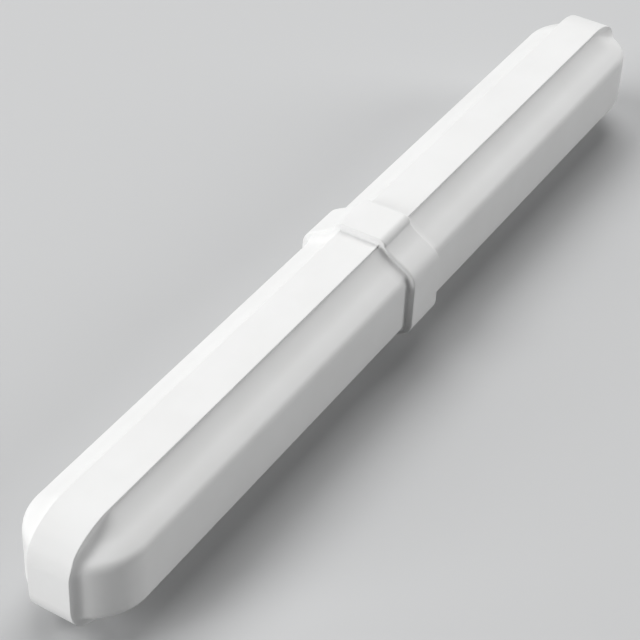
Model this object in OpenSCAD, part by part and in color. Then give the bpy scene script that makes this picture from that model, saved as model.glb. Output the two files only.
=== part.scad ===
// Eight-sided magnetic stir bar with a pivot ring.
// A magnet rod is sealed inside a one-piece moulded jacket. The bar lies along X with its sides
// facing -Y and +Y, and stands on the underside of its ring, whose middle is the origin.

/* [Body] */
// Overall length of the bar, from end to end
bar_len = 64; // [40:0.5:90]
// Width across opposite flats, the same for the upright and the level pair
body_w = 7.1; // [6.5:0.1:9]
// Width of the top and bottom flats
rib_w = 2.7; // [2.5:0.1:3.2]
// Height of the square step at each edge of the top and bottom flats
rib_step = 0.16; // [0.05:0.01:0.3]
// Height of the flat on each side
side_flat = 2.9; // [2.4:0.05:3.2]
// Slope of the shoulders, down from level
shoulder_slope = 31; // [26:1:35]
// Radius of the hollow sweep where each shoulder meets the rib
hollow_r = 3.85; // [3:0.05:4.5]
// Radius where each shoulder rolls over into the side flat
roll_r = 0.75; // [0.4:0.05:0.9]

/* [Ends] */
// How far the rib stands out past the round end of the level part
rib_proud = 0.14; // [0.05:0.01:0.5]
// Radius of the long curve that starts each end of the rib
crown_r = 4.9; // [4:0.1:7]
// Turn of that long curve, from level
crown_turn = 28; // [15:1:45]
// Radius of the tighter curve that finishes each end of the rib
nose_r = 2.25; // [1.5:0.05:2.8]

/* [Ring] */
// Length of the pivot ring along the bar
ring_len = 3.1; // [2:0.1:8]
// How far the ring stands out from the body all round
ring_proud = 0.45; // [0.3:0.05:0.9]

/* [Magnet] */
// Diameter of the magnet rod
magnet_d = 4.5; // [3:0.25:5]
// Length of the magnet rod
magnet_len = 56; // [20:0.5:58]
// Room between the magnet rod and its pocket, all round and at each end
magnet_gap = 0.02; // [0.01:0.01:0.05]

/* [Hidden] */
$fn = 96;

half_w = body_w / 2;
half_rib = rib_w / 2;
half_side = side_flat / 2;
half_len = bar_len / 2;
axis_z = half_w + ring_proud;         // height of the bar's centre line
end_x = half_len - rib_proud - half_w; // where the level part starts to turn round
tuck = 0.05;                          // how far the shoulders run in under the rib's flank
bite = 0.001;                         // how far a shoulder's ends run into the curves they meet

// Shoulder line: its direction, its outward normal and its distance from the centre line
down = [cos(shoulder_slope), -sin(shoulder_slope)];
out = [sin(shoulder_slope), cos(shoulder_slope)];
roll_c = [half_w - roll_r, half_side];
shoulder_d = out * roll_c + roll_r;

// The hollow sweep starts at the foot of the rib's step and runs out along the shoulder line
foot = [half_rib, half_w - rib_step];
to_foot = (shoulder_d + hollow_r) * out - foot;
along = -(to_foot * down) + sqrt(pow(to_foot * down, 2) - to_foot * to_foot + hollow_r * hollow_r);
hollow_c = (shoulder_d + hollow_r) * out + along * down;

// Rib end: the crown curve's centre and the nose curve's centre, which touch on one line
lean = [sin(crown_turn), cos(crown_turn)];
nose_x = half_len - nose_r;
crown_c = [nose_x - (crown_r - nose_r) * lean[0], half_w - crown_r];
nose_c = [nose_x, crown_c[1] + (crown_r - nose_r) * lean[1]];

// A copy of a flat shape in each of its four quarters
module all_quarters() {
    for (side = [0, 1])
        for (end = [0, 1])
            mirror([side, 0]) mirror([0, end]) children();
}

// One quarter of the shouldered section, grown outwards by the given amount
module shoulder_quarter(grow) {
    sweep_r = hollow_r - grow;
    start_y = half_rib - tuck + 0.9 * grow;
    start_z = hollow_c[1] - sqrt(sweep_r * sweep_r - pow(start_y - hollow_c[0], 2));
    difference() {
        polygon([
            [0, 0],
            [0, start_z],
            [start_y, start_z],
            hollow_c - (sweep_r - bite) * out,
            roll_c + (roll_r + grow - bite) * out,
            [half_w + grow, half_side],
            [half_w + grow, 0]
        ]);
        translate(hollow_c) circle(r = sweep_r);
    }
    translate(roll_c) circle(r = roll_r + grow);
}

// One quarter of the ring's rib, with the soft corner that an even growth gives
module ring_rib_quarter() {
    square([half_rib + ring_proud, half_w]);
    square([half_rib, half_w + ring_proud]);
    translate([half_rib, half_w]) circle(r = ring_proud);
}

// The part of a disc between straight up and the given turn to the right
module disc_slice(r, turn) {
    reach = 1.5 * r;
    intersection() {
        circle(r = r);
        polygon([[0, 0], [0, reach], reach * [sin(turn), cos(turn)]]);
    }
}

// One quarter of the rib seen from the side: flat top, crown curve, nose curve, upright end
module rib_quarter() {
    polygon([
        [0, 0],
        [0, half_w],
        [crown_c[0], half_w],
        crown_c + crown_r * lean,
        [half_len, nose_c[1]],
        [half_len, 0]
    ]);
    translate(crown_c) disc_slice(crown_r, crown_turn);
    translate(nose_c) circle(r = nose_r);
}

// The upright rib, which carries the top and bottom flats and both ends
module rib() {
    rotate([90, 0, 0]) linear_extrude(rib_w, center = true) all_quarters() rib_quarter();
}

// A section drawn in Y and Z, run along X and centred on the origin
module along_bar(length) {
    rotate([90, 0, 90]) linear_extrude(length, center = true) children();
}

// The level part: the shouldered section run along the bar and turned round at each end
module level_part() {
    along_bar(2 * end_x) all_quarters() shoulder_quarter(0);
    for (side = [-1, 1])
        translate([side * end_x, 0, 0]) rotate_extrude() {
            shoulder_quarter(0);
            mirror([0, 1]) shoulder_quarter(0);
        }
}

// The pivot ring: the same section, grown evenly
module pivot_ring() {
    along_bar(ring_len) all_quarters() {
        shoulder_quarter(ring_proud);
        ring_rib_quarter();
    }
}

// A plain rod along X, used for the magnet and, with its room, for the pocket
module rod(room) {
    rotate([0, 90, 0]) cylinder(r = magnet_d / 2 + room, h = magnet_len + 2 * room, center = true);
}

// Moulded jacket: body and ring in one piece, closed round the magnet
module jacket() {
    color("white") translate([0, 0, axis_z]) difference() {
        union() {
            level_part();
            rib();
            pivot_ring();
        }
        rod(magnet_gap);
    }
}

// Magnet rod, sealed inside the jacket
module magnet() {
    color("dimgray") translate([0, 0, axis_z]) rod(0);
}

jacket();
magnet();
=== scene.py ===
"""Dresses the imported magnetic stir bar: softened moulding, finishes, floor, lamps and camera.

The bar lies along X and stands on the underside of its pivot ring, whose middle is the origin.
Shapes are worked out in millimetres from the bar's centre line, and written in metres.
"""

import logging
import math
from dataclasses import dataclass, field
from enum import Enum

import bmesh
import bpy
from mathutils import Matrix, Vector


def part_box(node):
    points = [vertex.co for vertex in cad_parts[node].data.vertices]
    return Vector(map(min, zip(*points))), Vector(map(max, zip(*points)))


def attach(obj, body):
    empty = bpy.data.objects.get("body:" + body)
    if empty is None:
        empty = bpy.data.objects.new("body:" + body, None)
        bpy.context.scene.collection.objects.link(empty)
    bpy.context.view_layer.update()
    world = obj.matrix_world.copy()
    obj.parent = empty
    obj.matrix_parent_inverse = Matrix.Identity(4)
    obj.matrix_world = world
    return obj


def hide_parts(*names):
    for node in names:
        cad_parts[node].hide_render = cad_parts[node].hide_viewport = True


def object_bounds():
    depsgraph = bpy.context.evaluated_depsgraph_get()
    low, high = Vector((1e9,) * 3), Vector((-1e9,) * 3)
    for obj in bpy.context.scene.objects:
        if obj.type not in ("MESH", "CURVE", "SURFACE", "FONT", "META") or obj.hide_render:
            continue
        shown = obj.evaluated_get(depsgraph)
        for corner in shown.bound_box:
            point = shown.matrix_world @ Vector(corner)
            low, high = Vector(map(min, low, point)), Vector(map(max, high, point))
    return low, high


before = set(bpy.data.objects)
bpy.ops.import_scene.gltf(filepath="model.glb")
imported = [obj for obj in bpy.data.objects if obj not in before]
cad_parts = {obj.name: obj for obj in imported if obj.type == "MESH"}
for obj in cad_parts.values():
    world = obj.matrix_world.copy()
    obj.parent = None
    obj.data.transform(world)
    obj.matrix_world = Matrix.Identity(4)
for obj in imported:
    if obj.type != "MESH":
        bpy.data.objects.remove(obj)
cad_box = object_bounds()

MM = 0.001
MICRON = 0.000001
WHITE = (1.0, 1.0, 1.0, 1.0)
ROOT_BODY = "root"
JACKET_NODE = "jacket"
MAGNET_NODE = "magnet"

MERGE_MM = 0.0001  # points closer together than this become one
LEVEL_MM = 0.000001  # a point this little below the centre line still counts as on it

Socket = bpy.types.NodeSocket
Colour = tuple[float, float, float]

log = logging.getLogger("stir_bar")


class Slot(Enum):
    """Material slots of the record that the pieces take their finish from."""

    JACKET = "white_fluoropolymer"
    MAGNET = "magnet_alloy"


# ---------------------------------------------------------------------------------------------
# Plain geometry helpers
# ---------------------------------------------------------------------------------------------


def polar(centre: Vector, radius: float, angle: float) -> Vector:
    """A point on a circle in a flat drawing.

    Args:
        centre: Middle of the circle.
        radius: Radius of the circle.
        angle: Direction from the middle, in radians from the first axis to the second.

    Returns:
        The point, as a two-part vector.
    """
    return Vector((centre[0] + radius * math.cos(angle), centre[1] + radius * math.sin(angle)))


def arc(centre: Vector, radius: float, start: float, end: float, steps: int) -> list[Vector]:
    """Points along an arc, both ends included.

    Args:
        centre: Middle of the arc.
        radius: Radius of the arc.
        start: First direction, in radians.
        end: Last direction, in radians.
        steps: Number of equal steps.

    Returns:
        The points, in order.
    """
    return [polar(centre, radius, start + (end - start) * i / steps) for i in range(steps + 1)]


def facing(slope: float) -> Vector:
    """Outward direction of a surface that falls away at a slope.

    Args:
        slope: Slope down from level, in radians.

    Returns:
        The direction, as a two-part vector of length 1.
    """
    return Vector((math.sin(slope), math.cos(slope)))


def crossing(first: Vector, first_r: float, second: Vector, second_r: float) -> Vector:
    """The right-hand crossing of two circles, looking from the first middle to the second.

    Args:
        first: Middle of the first circle.
        first_r: Radius of the first circle.
        second: Middle of the second circle.
        second_r: Radius of the second circle.

    Returns:
        The crossing point.
    """
    gap = second - first
    along = (first_r**2 - second_r**2 + gap.length_squared) / (2.0 * gap.length)
    aside = math.sqrt(first_r**2 - along**2)
    unit = gap.normalized()
    return first + along * unit + aside * Vector((unit[1], -unit[0]))


def ray_exit(start: Vector, ray: Vector, centre: Vector, radius: float) -> tuple[float, Vector]:
    """Where a ray leaves a circle.

    Args:
        start: Start of the ray.
        ray: Direction of the ray, of length 1.
        centre: Middle of the circle.
        radius: Radius of the circle.

    Returns:
        The distance along the ray, and the place as seen from the circle's middle.
    """
    off = start - centre
    dot = off.dot(ray)
    far = -dot + math.sqrt(dot * dot - off.length_squared + radius**2)
    return far, off + far * ray


def bearing(azimuth: float, elevation: float) -> Vector:
    """Direction towards a bearing.

    Args:
        azimuth: Turn from +X towards +Y, in degrees.
        elevation: Angle above level, in degrees.

    Returns:
        The direction, of length 1.
    """
    turn, lift = math.radians(azimuth), math.radians(elevation)
    level = math.cos(lift)
    return Vector((level * math.cos(turn), level * math.sin(turn), math.sin(lift)))


def spread(path: list[Vector], steps: int) -> list[Vector]:
    """Spaces points evenly along a path.

    Args:
        path: Corner points of the path.
        steps: Number of equal steps wanted.

    Returns:
        The evenly spaced points, both ends included.
    """
    lengths = [(b - a).length for a, b in zip(path, path[1:])]
    total = sum(lengths)
    points, index, passed = [path[0].copy()], 0, 0.0
    for step in range(1, steps):
        target = total * step / steps
        while passed + lengths[index] < target:
            passed += lengths[index]
            index += 1
        part = (target - passed) / lengths[index]
        points.append(path[index].lerp(path[index + 1], part))
    return points + [path[-1].copy()]


def ease(value: float) -> float:
    """A smooth step from 0 to 1.

    Args:
        value: Position; below 0 gives 0 and above 1 gives 1.

    Returns:
        The eased value.
    """
    clamped = min(max(value, 0.0), 1.0)
    return clamped * clamped * (3.0 - 2.0 * clamped)


def round_join(first: float, second: float, radius: float) -> float:
    """Distance to two joined solids whose inner corner carries a fillet.

    Args:
        first: Distance to the first solid, positive outside it.
        second: Distance to the second solid, positive outside it.
        radius: Reach of the fillet.

    Returns:
        The joined distance.
    """
    near = math.hypot(max(radius - first, 0.0), max(radius - second, 0.0))
    return max(radius, min(first, second)) - near


def add_object(name: str, data: bpy.types.ID) -> bpy.types.Object:
    """Puts a new object into the scene.

    Args:
        name: Name of the object.
        data: Its mesh, lamp or camera.

    Returns:
        The object.
    """
    made = bpy.data.objects.new(name, data)
    bpy.context.scene.collection.objects.link(made)
    return made


def add_mesh_object(name: str, shape: bmesh.types.BMesh) -> bpy.types.Object:
    """Puts a finished shape into the scene, and frees it.

    Args:
        name: Name of the object and its mesh.
        shape: The shape.

    Returns:
        The object.
    """
    mesh = bpy.data.meshes.new(name)
    shape.to_mesh(mesh)
    shape.free()
    return add_object(name, mesh)


# ---------------------------------------------------------------------------------------------
# Shape of the moulding
# ---------------------------------------------------------------------------------------------


@dataclass(frozen=True)
class Section:
    """Cross-section of the moulding, drawn in Y and Z from the centre line, in millimetres.

    From the rib's softened edge it runs down a short flank, through a small fillet and the hollow
    sweep, over the faintly crowned shoulder, and rolls over into the flat side. A part is a share
    of the way from the middle of a flat to its edge.
    """

    half_w: float = 3.55
    half_rib: float = 1.35
    half_side: float = 1.436
    rib_step: float = 0.16
    shoulder_slope: float = math.radians(34.5)
    shoulder_r: float = 6.16
    hollow_r: float = 3.85
    roll_r: float = 0.73
    edge_r: float = 0.045
    foot_r: float = 0.12
    support: float = 0.03
    top_parts: tuple[float, ...] = (0.0, 0.5, 0.9)
    edge_draft_steps: int = 24
    edge_steps: int = 9
    foot_steps: int = 6
    hollow_steps: int = 14
    shoulder_steps: int = 8
    roll_steps: int = 14
    side_parts: tuple[float, ...] = (0.86, 0.74, 0.62, 0.5, 0.38, 0.26, 0.15, 0.06, 0.0)

    @property
    def corner_c(self) -> Vector:
        """Middle of the rib's softened edge."""
        return Vector((self.half_rib - self.edge_r, self.half_w - self.edge_r))

    @property
    def roll_c(self) -> Vector:
        """Middle of the curve between shoulder and side."""
        return Vector((self.half_w - self.roll_r, self.half_side))

    @property
    def shoulder_c(self) -> Vector:
        """Middle of the shoulder's crown, which touches the roll."""
        return self.roll_c - (self.shoulder_r - self.roll_r) * facing(self.shoulder_slope)

    @property
    def hollow_c(self) -> Vector:
        """Middle of the hollow sweep, which touches the shoulder and starts at the rib's foot."""
        foot = Vector((self.half_rib, self.half_w - self.rib_step))
        return crossing(self.shoulder_c, self.shoulder_r + self.hollow_r, foot, self.hollow_r)

    def foot_centre(self, grow: float) -> Vector:
        """Middle of the small fillet at the rib's foot.

        Args:
            grow: How far the section is grown outwards.

        Returns:
            The middle, on the flank's side where the flank reaches it, or beside the rib's corner.
        """
        hollow, sweep = self.hollow_c, self.hollow_r - grow - self.foot_r
        across = self.half_rib + grow + self.foot_r
        height = hollow[1] - math.sqrt(sweep * sweep - (across - hollow[0]) ** 2)
        if height <= self.corner_c[1]:
            return Vector((across, height))
        return crossing(self.corner_c, self.edge_r + grow + self.foot_r, hollow, sweep)

    def quarter(self, grow: float) -> list[Vector]:
        """One quarter of the section, from the middle of the top to the middle of the side.

        Args:
            grow: How far the section is grown outwards.

        Returns:
            The points; every grown section has the same number.
        """
        corner, foot, hollow = self.corner_c, self.foot_centre(grow), self.hollow_c
        gap = hollow - self.shoulder_c
        meet = math.atan2(gap[1], gap[0])
        tilt = math.pi / 2 - self.shoulder_slope
        touch = max(math.atan2(foot[1] - corner[1], foot[0] - corner[0]), 0.0)
        foot_end = math.atan2(foot[1] - hollow[1], foot[0] - hollow[0])
        # The edge and the flank under it are drafted finely, and then spaced evenly
        edge = arc(corner, self.edge_r + grow, math.pi / 2, touch, self.edge_draft_steps)
        if touch == 0.0:
            edge.append(Vector((foot[0] - self.foot_r, foot[1])))
        bends = (
            (foot, self.foot_r, math.pi + touch, foot_end + math.tau, self.foot_steps),
            (hollow, self.hollow_r - grow, foot_end, meet - math.pi, self.hollow_steps),
            (self.shoulder_c, self.shoulder_r + grow, meet, tilt, self.shoulder_steps),
            (self.roll_c, self.roll_r + grow, tilt, 0.0, self.roll_steps),
        )
        side = self.half_w + grow
        points = [Vector((corner[0] * part, side)) for part in self.top_parts]
        points.append(Vector((corner[0] - self.support, side)))
        points += spread(edge, self.edge_steps)
        for bend in bends:
            points += arc(*bend)[1:]
        points.append(Vector((side, self.half_side - self.support)))
        return points + [Vector((side, self.half_side * part)) for part in self.side_parts]

    def level_reach(self, height: float) -> tuple[float, float]:
        """Half-width of the shouldered part, without the rib, at a height.

        Args:
            height: Height above the centre line, 0 or more.

        Returns:
            The half-width there and its change with height.
        """
        if height <= self.half_side:
            return self.half_w, 0.0
        hollow, gap = self.hollow_c, self.hollow_c - self.shoulder_c
        if height <= self.roll_c[1] + self.roll_r * math.cos(self.shoulder_slope):
            centre, radius = self.roll_c, self.roll_r
        elif height <= hollow[1] - self.hollow_r * gap[1] / gap.length:
            centre, radius = self.shoulder_c, self.shoulder_r
        else:
            drop = hollow[1] - height
            flat = math.sqrt(self.hollow_r**2 - drop**2)
            return hollow[0] - flat, -drop / flat
        rise = height - centre[1]
        flat = math.sqrt(radius**2 - rise**2)
        return centre[0] + flat, -rise / flat


@dataclass(frozen=True)
class RibEnd:
    """Side view of the rib's end, drawn in X and Z from the centre line, in millimetres."""

    half_len: float = 32.0
    half_w: float = 3.55
    proud: float = 0.14
    crown_r: float = 4.9
    crown_turn: float = math.radians(28.0)
    nose_r: float = 2.25

    @property
    def end_x(self) -> float:
        """Where the level part starts to turn round."""
        return self.half_len - self.proud - self.half_w

    @property
    def nose_c(self) -> Vector:
        """Middle of the tighter curve."""
        lift = self.half_w - self.crown_r + (self.crown_r - self.nose_r) * math.cos(self.crown_turn)
        return Vector((self.half_len - self.nose_r, lift))

    @property
    def crown_c(self) -> Vector:
        """Middle of the long curve."""
        back = (self.crown_r - self.nose_r) * math.sin(self.crown_turn)
        return Vector((self.nose_c[0] - back, self.half_w - self.crown_r))

    def reach(self, angle: float) -> float:
        """Distance from the turning centre to the rib's outline.

        Args:
            angle: Direction in the side view, from 0 (along the bar) to a right angle (up).

        Returns:
            The distance, in millimetres.
        """
        ray = Vector((math.cos(angle), math.sin(angle)))
        start = Vector((self.end_x, 0.0))
        if ray[1] > 0 and self.end_x + self.half_w / ray[1] * ray[0] <= self.crown_c[0]:
            return self.half_w / ray[1]
        far, point = ray_exit(start, ray, self.crown_c, self.crown_r)
        if math.atan2(point[0], point[1]) <= self.crown_turn:
            return far
        far, point = ray_exit(start, ray, self.nose_c, self.nose_r)
        return far if point[1] >= 0.0 else (self.half_len - self.end_x) / ray[0]


@dataclass(frozen=True)
class EndFillet:
    """Fillet between the rib's flank and the rounded end, which widens towards the nose.

    It goes from its start to its full reach over the first distance past the turning centre, and
    the straight section's shape gives way to it over the second, all in millimetres.
    """

    start: float = 0.032
    full: float = 0.46
    opens_over: float = 2.7
    settles_over: float = 0.6

    def size(self, past: float) -> float:
        """Reach of the fillet at a distance past the turning centre."""
        return self.start + (self.full - self.start) * ease(past / self.opens_over)


@dataclass(frozen=True)
class RingProfile:
    """Half of the pivot ring cut along the bar: how far it grows at each place, in millimetres.

    Its lip and the fillet at its base are small on the flats and wider on the shoulders. Each pair
    gives the measure on the flats and the one on the shoulders.
    """

    half_len: float = 1.55
    proud: float = 0.45
    lip_r: tuple[float, float] = (0.08, 0.16)
    base_reach: tuple[float, float] = (0.15, 0.8)
    base_rise: tuple[float, float] = (0.13, 0.25)
    support: float = 0.03
    top_mark: float = 0.8
    lip_steps: int = 5
    face_parts: tuple[float, float] = (0.25, 0.75)
    base_steps: int = 8

    def profile(self, share: float) -> list[Vector]:
        """Places along the bar and the growth there, from the ring's middle to the plain body.

        Args:
            share: 0 on the flats and 1 on the shoulders.

        Returns:
            The places, as many for every share.
        """
        pairs = (self.lip_r, self.base_reach, self.base_rise)
        lip_r, reach, rise = (flat + (shoulder - flat) * share for flat, shoulder in pairs)
        lip_c = Vector((self.half_len - lip_r, self.proud - lip_r))
        lip = arc(lip_c, lip_r, math.pi / 2, 0.0, self.lip_steps)
        marks = (0.0, self.top_mark, self.half_len - lip_r - self.support)
        foot = Vector((self.half_len, rise))
        points = [Vector((x, self.proud)) for x in marks] + lip
        points += [lip[-1].lerp(foot, part) for part in self.face_parts] + [foot]
        for step in range(1, self.base_steps + 1):
            turn = math.pi / 2 * step / self.base_steps
            points.append(foot + Vector((reach * (1.0 - math.cos(turn)), -rise * math.sin(turn))))
        return points + [Vector((self.half_len + reach + self.support, 0.0))]


# ---------------------------------------------------------------------------------------------
# Finishes
# ---------------------------------------------------------------------------------------------


@dataclass(frozen=True)
class Pattern:
    """A noise pattern, the band of its values that is used, and its stretch along each axis."""

    per_metre: float
    layers: float
    layer_strength: float = 0.5
    band: tuple[float, float] = (0.3, 0.7)
    stretch: tuple[float, float, float] | None = None


def number_node(tree: bpy.types.NodeTree, operation: str, first: Socket, second: Socket) -> Socket:
    """Works one number out of two.

    Args:
        tree: Node tree to add the node to.
        operation: What is done, as Blender names it.
        first: First number.
        second: Second number.

    Returns:
        The result.
    """
    node = tree.nodes.new("ShaderNodeMath")
    node.operation = operation
    tree.links.new(first, node.inputs[0])
    tree.links.new(second, node.inputs[1])
    return node.outputs[0]


def shown_share(tree: bpy.types.NodeTree) -> Socket:
    """Tells the rays that show a backdrop from the rays that carry its light to the bar.

    Args:
        tree: Node tree to add the nodes to.

    Returns:
        1 for what is seen straight on, in gloss or through glass, and 0 for light that spreads.
    """
    path = tree.nodes.new("ShaderNodeLightPath")
    share = path.outputs["Is Camera Ray"]
    for kind in ("Is Glossy Ray", "Is Transmission Ray"):
        share = number_node(tree, "MAXIMUM", share, path.outputs[kind])
    return share


def mix_to(
    tree: bpy.types.NodeTree, share: Socket, hidden: Socket, shown: Socket, surface: Socket
) -> None:
    """Sends a mix of two shaders to a surface.

    Args:
        tree: Node tree to add the node to.
        share: Share of the second shader.
        hidden: Shader at 0.
        shown: Shader at 1.
        surface: Socket that takes the mix.
    """
    mix = tree.nodes.new("ShaderNodeMixShader")
    for source, target in zip((share, hidden, shown), mix.inputs):
        tree.links.new(source, target)
    tree.links.new(mix.outputs[0], surface)


class NodeSheet:
    """A material's node tree, with short calls for the nodes that the finishes use."""

    def __init__(self, name: str) -> None:
        """Starts an empty material.

        Args:
            name: Name of the material.
        """
        self.material = bpy.data.materials.new(name)
        self.material.use_nodes = True
        self.tree = self.material.node_tree
        self.tree.nodes.clear()
        self.surface = self.tree.nodes.new("ShaderNodeOutputMaterial").inputs["Surface"]
        self.shader = self.tree.nodes.new("ShaderNodeBsdfPrincipled")
        self.place = self.tree.nodes.new("ShaderNodeTexCoord").outputs["Object"]
        self.link(self.shader.outputs["BSDF"], self.surface)

    def link(self, source: Socket, target: Socket) -> None:
        """Joins two sockets."""
        self.tree.links.new(source, target)

    def feed(self, name: str, value: Socket) -> None:
        """Drives a shader input that changes over the surface."""
        self.link(value, self.shader.inputs[name])

    def set(self, **values: float) -> None:
        """Sets shader inputs that are the same all over, by name with spaces as underscores."""
        for name, value in values.items():
            self.shader.inputs[name.replace("_", " ")].default_value = value

    def noise(self, pattern: Pattern) -> Socket:
        """Lays a noise pattern over the piece.

        Args:
            pattern: The pattern.

        Returns:
            Its values, from 0 to 1.
        """
        vector = self.place
        if pattern.stretch is not None:
            mapping = self.tree.nodes.new("ShaderNodeMapping")
            mapping.inputs["Scale"].default_value = pattern.stretch
            self.link(vector, mapping.inputs["Vector"])
            vector = mapping.outputs["Vector"]
        node = self.tree.nodes.new("ShaderNodeTexNoise")
        node.inputs["Scale"].default_value = pattern.per_metre
        node.inputs["Detail"].default_value = pattern.layers
        node.inputs["Roughness"].default_value = pattern.layer_strength
        self.link(vector, node.inputs["Vector"])
        return node.outputs["Fac"]

    def remap(self, value: Socket, band: tuple[float, float], onto: tuple[float, float]) -> Socket:
        """Moves a range of values onto another range.

        Args:
            value: Values to read.
            band: Lowest and highest value read.
            onto: What the lowest and the highest become.

        Returns:
            The moved values.
        """
        node = self.tree.nodes.new("ShaderNodeMapRange")
        for name, number in zip(("From Min", "From Max", "To Min", "To Max"), (*band, *onto)):
            node.inputs[name].default_value = number
        self.link(value, node.inputs["Value"])
        return node.outputs["Result"]

    def blend(self, factor: Socket, first: Colour, second: Colour) -> Socket:
        """Mixes two colours.

        Args:
            factor: Share of the second colour.
            first: Colour at 0.
            second: Colour at 1.

        Returns:
            The mixed colour.
        """
        node = self.tree.nodes.new("ShaderNodeMix")
        node.data_type = "RGBA"
        colours = [socket for socket in node.inputs if socket.type == "RGBA"]
        colours[0].default_value, colours[1].default_value = (*first, 1.0), (*second, 1.0)
        self.link(factor, node.inputs[0])
        return next(socket for socket in node.outputs if socket.type == "RGBA")

    def bump(
        self, height: Socket, depth: float, strength: float, under: Socket | None = None
    ) -> Socket:
        """Turns a pattern into fine relief.

        Args:
            height: Pattern that gives the height.
            depth: Height of the relief, in metres.
            strength: Share of the relief that shows.
            under: Relief beneath this one, if any.

        Returns:
            The bent normal.
        """
        node = self.tree.nodes.new("ShaderNodeBump")
        node.inputs["Distance"].default_value = depth
        node.inputs["Strength"].default_value = strength
        self.link(height, node.inputs["Height"])
        if under is not None:
            self.link(under, node.inputs["Normal"])
        return node.outputs["Normal"]


@dataclass(frozen=True)
class WhiteFluoropolymer:
    """Waxy white moulded fluoropolymer: faint clouding, a satin skin and a very fine grain."""

    base: Colour = (0.87, 0.872, 0.868)
    cloud: Colour = (0.845, 0.846, 0.84)
    roughness: tuple[float, float] = (0.41, 0.51)
    ior: float = 1.36
    shine: float = 0.3
    clouding: Pattern = Pattern(260.0, 4.0, band=(0.35, 0.65))
    skin: Pattern = Pattern(2600.0, 3.0, stretch=(0.12, 1.0, 1.0))
    skin_depth: float = 4.0 * MICRON
    grain: Pattern = Pattern(7000.0, 2.0)
    grain_depth: float = 3.0 * MICRON
    relief: float = 0.25

    def material(self) -> bpy.types.Material:
        """Builds the material.

        Returns:
            The material.
        """
        sheet = NodeSheet(Slot.JACKET.value)
        clouds = sheet.remap(sheet.noise(self.clouding), self.clouding.band, (0.0, 1.0))
        skin = sheet.noise(self.skin)
        sheet.feed("Base Color", sheet.blend(clouds, self.base, self.cloud))
        sheet.feed("Roughness", sheet.remap(skin, self.skin.band, self.roughness))
        grain, under = sheet.noise(self.grain), sheet.bump(skin, self.skin_depth, self.relief)
        sheet.feed("Normal", sheet.bump(grain, self.grain_depth, self.relief, under))
        sheet.set(IOR=self.ior, Specular_IOR_Level=self.shine)
        return sheet.material


@dataclass(frozen=True)
class MagnetAlloy:
    """Ground magnet alloy: grey metal with fine turning lines round the rod."""

    light: Colour = (0.50, 0.50, 0.49)
    dark: Colour = (0.33, 0.33, 0.335)
    roughness: tuple[float, float] = (0.32, 0.54)
    casting: Pattern = Pattern(420.0, 5.0)
    turning: Pattern = Pattern(5200.0, 3.0, 0.6, (0.25, 0.75), (1.0, 0.04, 0.04))
    turning_depth: float = 6.0 * MICRON
    relief: float = 0.5

    def material(self) -> bpy.types.Material:
        """Builds the material.

        Returns:
            The material.
        """
        sheet = NodeSheet(Slot.MAGNET.value)
        patches = sheet.remap(sheet.noise(self.casting), self.casting.band, (0.0, 1.0))
        lines = sheet.noise(self.turning)
        sheet.feed("Base Color", sheet.blend(patches, self.light, self.dark))
        sheet.feed("Roughness", sheet.remap(lines, self.turning.band, self.roughness))
        sheet.feed("Normal", sheet.bump(lines, self.turning_depth, self.relief))
        sheet.set(Metallic=1.0)
        return sheet.material


@dataclass(frozen=True)
class PaleBoard:
    """Plain pale studio floor with a barely visible mottle, which throws little light upwards.

    Far from the bar, where the lamps no longer reach, it fades into the backdrop.
    """

    base: Colour = (0.60, 0.605, 0.61)
    mottle: Colour = (0.59, 0.594, 0.598)
    patches: Pattern = Pattern(14.0, 3.0)
    roughness: float = 0.85
    shine: float = 0.15
    thrown: float = 0.68
    backdrop: float = 0.496
    fades_over: tuple[float, float] = (0.14, 0.7)

    def material(self) -> bpy.types.Material:
        """Builds the material.

        Returns:
            The material.
        """
        sheet = NodeSheet("pale_board")
        toned = sheet.tree.nodes.new("ShaderNodeVectorMath")
        toned.operation = "SCALE"
        sheet.link(sheet.blend(sheet.noise(self.patches), self.base, self.mottle), toned.inputs[0])
        shown = shown_share(sheet.tree)
        sheet.link(sheet.remap(shown, (0.0, 1.0), (self.thrown, 1.0)), toned.inputs["Scale"])
        sheet.feed("Base Color", toned.outputs[0])
        sheet.set(Roughness=self.roughness, Specular_IOR_Level=self.shine)
        self.fade(sheet, shown)
        return sheet.material

    def fade(self, sheet: NodeSheet, shown: Socket) -> None:
        """Lets the floor take the backdrop's brightness as it runs away from the bar.

        Args:
            sheet: The floor's material, with its lit surface made.
            shown: 1 for the rays that show the backdrop.
        """
        away = sheet.tree.nodes.new("ShaderNodeVectorMath")
        away.operation = "LENGTH"
        sheet.link(sheet.place, away.inputs[0])
        faded = sheet.remap(away.outputs["Value"], self.fades_over, (0.0, 1.0))
        glow = sheet.tree.nodes.new("ShaderNodeEmission")
        glow.inputs["Strength"].default_value = self.backdrop
        mix_to(
            sheet.tree,
            number_node(sheet.tree, "MULTIPLY", faded, shown),
            sheet.shader.outputs["BSDF"],
            glow.outputs["Emission"],
            sheet.surface,
        )
        sheet.material.cycles.emission_sampling = "NONE"


# ---------------------------------------------------------------------------------------------
# Pieces
# ---------------------------------------------------------------------------------------------


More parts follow.
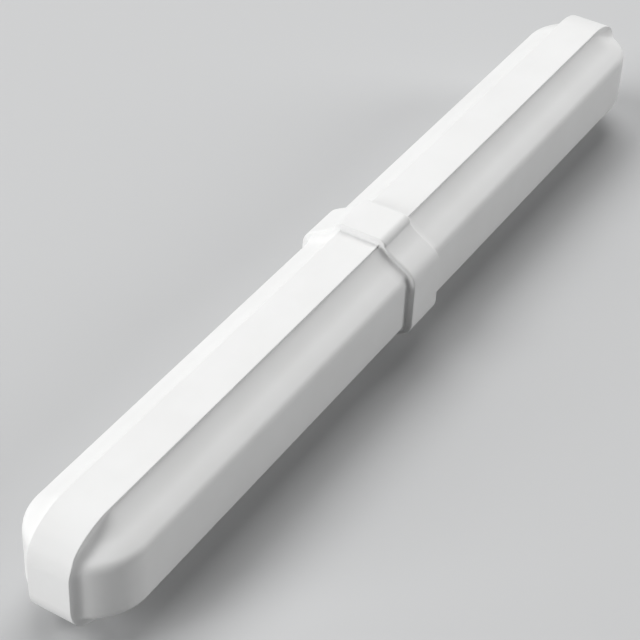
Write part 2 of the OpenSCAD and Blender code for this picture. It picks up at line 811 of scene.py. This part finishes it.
@dataclass
class Jacket:
    """The one-piece moulding: body, rounded ends and pivot ring, closed round the magnet.

    The four places of shoulder_span, counted along a quarter of the section, are where the shoulder
    starts, where it is full, where it starts to fade, and where the side flat takes over. The
    search for the rounded end's width halves its range as often as halvings says.
    """

    section: Section = field(default_factory=Section)
    rib_end: RibEnd = field(default_factory=RibEnd)
    fillet: EndFillet = field(default_factory=EndFillet)
    ring: RingProfile = field(default_factory=RingProfile)
    finish: WhiteFluoropolymer = field(default_factory=WhiteFluoropolymer)
    station_gap: float = 2.4
    shoulder_span: tuple[int, int, int, int] = (9, 18, 40, 52)
    turn_steps: int = 120
    halvings: int = 40
    pocket_room: float = 0.02
    pocket_sides: int = 72
    sharp_angle: float = math.radians(50.0)

    def loop(self, top: list[Vector]) -> list[Vector]:
        """A whole loop from one quarter: up from the middle of the +Y side, over and round."""
        chain = list(reversed(top)) + [Vector((p.x, -p.y, p.z)) for p in top[1:]]
        return chain + [Vector((p.x, p.y, -p.z)) for p in reversed(chain[1:-1])]

    def shoulder_share(self, index: int) -> float:
        """How much a point of the quarter belongs to the shoulder: 1 there and 0 on the flats."""
        first, full, fades, last = self.shoulder_span
        return ease((index - first) / (full - first)) * ease((last - index) / (last - fades))

    def ring_loops(self) -> list[list[Vector]]:
        """The loops from the ring's middle to the plain body.

        Returns:
            Each loop's points, in X, Y and Z.
        """
        count = len(self.section.quarter(0.0))
        profiles = [self.ring.profile(self.shoulder_share(index)) for index in range(count)]
        loops = []
        for places in zip(*profiles):
            drawn = {grow: self.section.quarter(grow) for grow in {place[1] for place in places}}
            points = [(place[0], drawn[place[1]][index]) for index, place in enumerate(places)]
            loops.append(self.loop([Vector((x, *point)) for x, point in points]))
        return loops

    def plain_loops(self, start: float) -> list[list[Vector]]:
        """The loops of the plain body, up to where the end turns round.

        Args:
            start: Where the plain body starts.

        Returns:
            Each loop's points, in X, Y and Z.
        """
        end, quarter = self.rib_end.end_x, self.section.quarter(0.0)
        count = math.ceil((end - start) / self.station_gap)
        places = [start + (end - start) * i / count for i in range(1, count)]
        places += [end - self.section.support, end]
        return [self.loop([Vector((x, *point)) for point in quarter]) for x in places]

    def build_half(self) -> bmesh.types.BMesh:
        """Runs the section from the ring's middle to the +X end and turns it round there.

        Returns:
            The open half, whose loop at X = 0 waits to be mirrored.
        """
        shape = bmesh.new()
        row = shape.verts.layers.int.new("row")
        loops = self.ring_loops()
        loops += self.plain_loops(max(point.x for point in loops[-1]))
        # The circle only gives the first loop of points, which are put in their places below
        verts = bmesh.ops.create_circle(shape, segments=len(loops[0]), radius=1.0)["verts"]
        for index, vert in enumerate(verts):
            vert[row] = index
        edges = list(shape.edges)
        for number, points in enumerate(loops):
            if number:
                made = bmesh.ops.extrude_edge_only(shape, edges=edges)["geom"]
                verts = [item for item in made if isinstance(item, bmesh.types.BMVert)]
                edges = [item for item in made if isinstance(item, bmesh.types.BMEdge)]
            for vert in verts:
                vert.co = points[vert[row]]
        self.turn_end(shape, edges, row)
        return shape

    def turn_end(
        self,
        shape: bmesh.types.BMesh,
        edges: list[bmesh.types.BMEdge],
        row: bmesh.types.BMLayerItem,
    ) -> None:
        """Spins the upper half of the last section round the end, and fits it to the rib's end.

        Args:
            shape: Mesh that holds the run of sections.
            edges: The last section's edges.
            row: Layer that numbers the points of a section.
        """
        chain = [edge for edge in edges if all(vert.co.z > -LEVEL_MM for vert in edge.verts)]
        upper = list(dict.fromkeys(vert for edge in chain for vert in edge.verts))
        centre = Vector((self.rib_end.end_x, 0.0, 0.0))
        before = set(shape.verts)
        bmesh.ops.spin(
            shape,
            geom=upper + chain,
            cent=centre,
            axis=(0.0, 1.0, 0.0),
            angle=math.pi,
            steps=self.turn_steps,
        )
        points = self.plain_loops(0.0)[-1]
        for vert in set(shape.verts) - before:
            vert.co = self.end_point(vert.co - centre, points[vert[row]]) + centre
        bmesh.ops.remove_doubles(shape, verts=shape.verts, dist=MERGE_MM)

    def end_point(self, spun: Vector, start: Vector) -> Vector:
        """Where a spun point lies on the finished end.

        Args:
            spun: The point after the spin, from the turning centre.
            start: The same point of the section before the spin.

        Returns:
            The point on the end, from the turning centre.
        """
        part = math.hypot(spun.x, spun.z) / self.section.half_w
        angle = math.atan2(abs(spun.z), max(spun.x, 0.0))
        far = part * self.rib_end.reach(angle)
        past, height = far * math.cos(angle), far * math.sin(angle)
        width, start_width = self.end_width(past, height), abs(start.y)
        if start_width < self.section.half_rib:
            across = start_width * width / self.section.half_rib
        else:
            left = 1.0 - ease(past / self.fillet.settles_over)
            across = width + left * (start_width - self.end_width(0.0, abs(start.z)))
        side = math.copysign(across, spun.y) if start_width else 0.0
        return Vector((past, side, math.copysign(height, spun.z)))

    def end_width(self, past: float, height: float) -> float:
        """Half-width of the rounded end, with the rib and its fillet.

        Args:
            past: Distance past the turning centre.
            height: Height above the centre line, 0 or more.

        Returns:
            The half-width, in millimetres.
        """
        rib, reach = self.section.half_rib, self.fillet.size(past)
        level, slope = self.section.level_reach(min(height, self.section.half_w))
        steep = math.hypot(1.0, slope)
        low = max(rib, math.sqrt(max(level**2 - past**2, 0.0)))
        high = low + reach
        for _ in range(self.halvings):
            middle = (low + high) / 2.0
            outside = (math.hypot(middle, past) - level) / steep
            if round_join(middle - rib, outside, reach) < 0.0:
                low = middle
            else:
                high = middle
        return low

    def add_pocket(self, shape: bmesh.types.BMesh, magnet_box: tuple[Vector, Vector]) -> None:
        """Adds the sealed pocket round the magnet, whose faces point into the hollow.

        Args:
            shape: The closed moulding, in metres.
            magnet_box: Lowest and highest corner of the magnet.
        """
        low, high = magnet_box
        radius = (high.z - low.z) / 2.0 + self.pocket_room * MM
        length = high.x - low.x + 2.0 * self.pocket_room * MM
        lay = Matrix.Translation((low + high) / 2.0) @ Matrix.Rotation(math.pi / 2, 4, "Y")
        made = bmesh.ops.create_cone(
            shape,
            cap_ends=True,
            segments=self.pocket_sides,
            radius1=radius,
            radius2=radius,
            depth=length,
            matrix=lay,
        )
        faces = {face for vert in made["verts"] for face in vert.link_faces}
        bmesh.ops.reverse_faces(shape, faces=list(faces))

    def build(self) -> bpy.types.Object:
        """Makes the moulding's object, dressed and in place.

        Returns:
            The finished object.
        """
        shape = self.build_half()
        half = [*shape.verts, *shape.edges, *shape.faces]
        bmesh.ops.mirror(shape, geom=half, axis="X", merge_dist=MERGE_MM)
        bmesh.ops.remove_doubles(shape, verts=shape.verts, dist=MERGE_MM)
        low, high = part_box(JACKET_NODE)
        lift = Matrix.Translation((low + high) / 2.0) @ Matrix.Scale(MM, 4)
        bmesh.ops.transform(shape, matrix=lift, verts=shape.verts)
        bmesh.ops.recalc_face_normals(shape, faces=shape.faces)
        self.add_pocket(shape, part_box(MAGNET_NODE))
        for face in shape.faces:
            face.smooth = True
        piece = add_mesh_object("jacket_moulding", shape)
        piece.data.set_sharp_from_angle(angle=self.sharp_angle)
        piece.data.materials.append(self.finish.material())
        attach(piece, ROOT_BODY)
        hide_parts(JACKET_NODE)
        return piece


@dataclass
class Magnet:
    """The magnet rod, whose solid is carried over and only given its finish."""

    finish: MagnetAlloy = field(default_factory=MagnetAlloy)

    def dress(self) -> bpy.types.Object:
        """Gives the carried-over rod its finish.

        Returns:
            The rod's object.
        """
        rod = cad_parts[MAGNET_NODE]
        material = self.finish.material()
        if rod.material_slots:
            for slot in rod.material_slots:
                slot.material = material
        else:
            rod.data.materials.append(material)
        return rod


# ---------------------------------------------------------------------------------------------
# Studio
# ---------------------------------------------------------------------------------------------


@dataclass(frozen=True)
class Lamp:
    """A round, soft lamp that faces the bar, in degrees, metres and watts."""

    name: str
    azimuth: float
    elevation: float
    size: float
    power: float
    distance: float = 0.8

    def hang(self, target: Vector) -> None:
        """Hangs the lamp.

        Args:
            target: Point that the lamp faces.
        """
        data = bpy.data.lights.new(self.name, "AREA")
        data.shape = "DISK"
        data.size = self.size
        data.energy = self.power
        aim = bearing(self.azimuth, self.elevation)
        lamp = add_object(self.name, data)
        lamp.location = target + aim * self.distance
        lamp.rotation_euler = aim.to_track_quat("Z", "Y").to_euler()


@dataclass(frozen=True)
class Viewpoint:
    """Where the camera stands and which way it looks: angles in degrees, lengths in millimetres."""

    position: tuple[float, float, float] = (-83.875, -45.125, 77.604)
    azimuth: float = 30.0274
    elevation: float = -39.2253
    roll: float = 2.8465
    lens: float = 109.366
    sensor: float = 36.0
    nearest: float = 5.0
    farthest: float = 20000.0

    def set_up(self) -> None:
        """Sets the camera up and makes it the scene's."""
        turn, roll = math.radians(self.azimuth), math.radians(self.roll)
        ahead = bearing(self.azimuth, self.elevation)
        level = Vector((math.sin(turn), -math.cos(turn), 0.0))
        upright = level.cross(ahead)
        right = math.cos(roll) * level + math.sin(roll) * upright
        above = math.cos(roll) * upright - math.sin(roll) * level
        data = bpy.data.cameras.new("camera")
        data.lens = self.lens
        data.sensor_width = self.sensor
        data.clip_start = self.nearest * MM
        data.clip_end = self.farthest * MM
        camera = add_object("camera", data)
        columns = Matrix((right, above, -ahead)).transposed().to_4x4()
        camera.matrix_world = Matrix.Translation(Vector(self.position) * MM) @ columns
        bpy.context.scene.camera = camera


@dataclass
class Studio:
    """Floor, surroundings, lamps and camera."""

    floor_radius: float = 2.0
    floor_sides: int = 96
    surround: float = 0.008
    board: PaleBoard = field(default_factory=PaleBoard)
    viewpoint: Viewpoint = field(default_factory=Viewpoint)
    lamps: tuple[Lamp, ...] = (
        Lamp("key_lamp", azimuth=151.0, elevation=15.0, size=0.36, power=3.55),
        Lamp("high_lamp", azimuth=130.0, elevation=50.0, size=0.45, power=2.42),
        Lamp("top_lamp", azimuth=30.0, elevation=54.0, size=0.65, power=4.1),
        Lamp("fill_lamp", azimuth=-52.0, elevation=22.0, size=0.34, power=2.4),
    )

    def lay_floor(self) -> None:
        """Lays the round floor under the bar."""
        shape = bmesh.new()
        bmesh.ops.create_circle(
            shape, cap_ends=True, segments=self.floor_sides, radius=self.floor_radius
        )
        floor = add_mesh_object("floor", shape)
        floor.data.materials.append(self.board.material())

    def hang_surround(self) -> None:
        """Sets the even light, and the pale backdrop that the camera, gloss and glass see."""
        world = bpy.data.worlds.new("surround")
        world.use_nodes = True
        tree = world.node_tree
        tree.nodes.clear()
        output = tree.nodes.new("ShaderNodeOutputWorld")
        glows = []
        for strength in (self.surround, self.board.backdrop):
            glow = tree.nodes.new("ShaderNodeBackground")
            glow.inputs["Color"].default_value = WHITE
            glow.inputs["Strength"].default_value = strength
            glows.append(glow.outputs["Background"])
        mix_to(tree, shown_share(tree), *glows, output.inputs["Surface"])
        bpy.context.scene.world = world

    def build(self) -> None:
        """Sets up everything round the bar."""
        self.viewpoint.set_up()
        self.lay_floor()
        self.hang_surround()
        low, high = cad_box
        for lamp in self.lamps:
            lamp.hang((low + high) / 2.0)
        bpy.context.scene.view_settings.view_transform = "Standard"


def main() -> None:
    """Builds the studio and the pieces."""
    logging.basicConfig(level=logging.INFO, format="%(name)s: %(message)s")
    Studio().build()
    for piece in (Jacket().build(), Magnet().dress()):
        log.info("%s: %d faces", piece.name, len(piece.data.polygons))


if __name__ == "__main__":
    main()
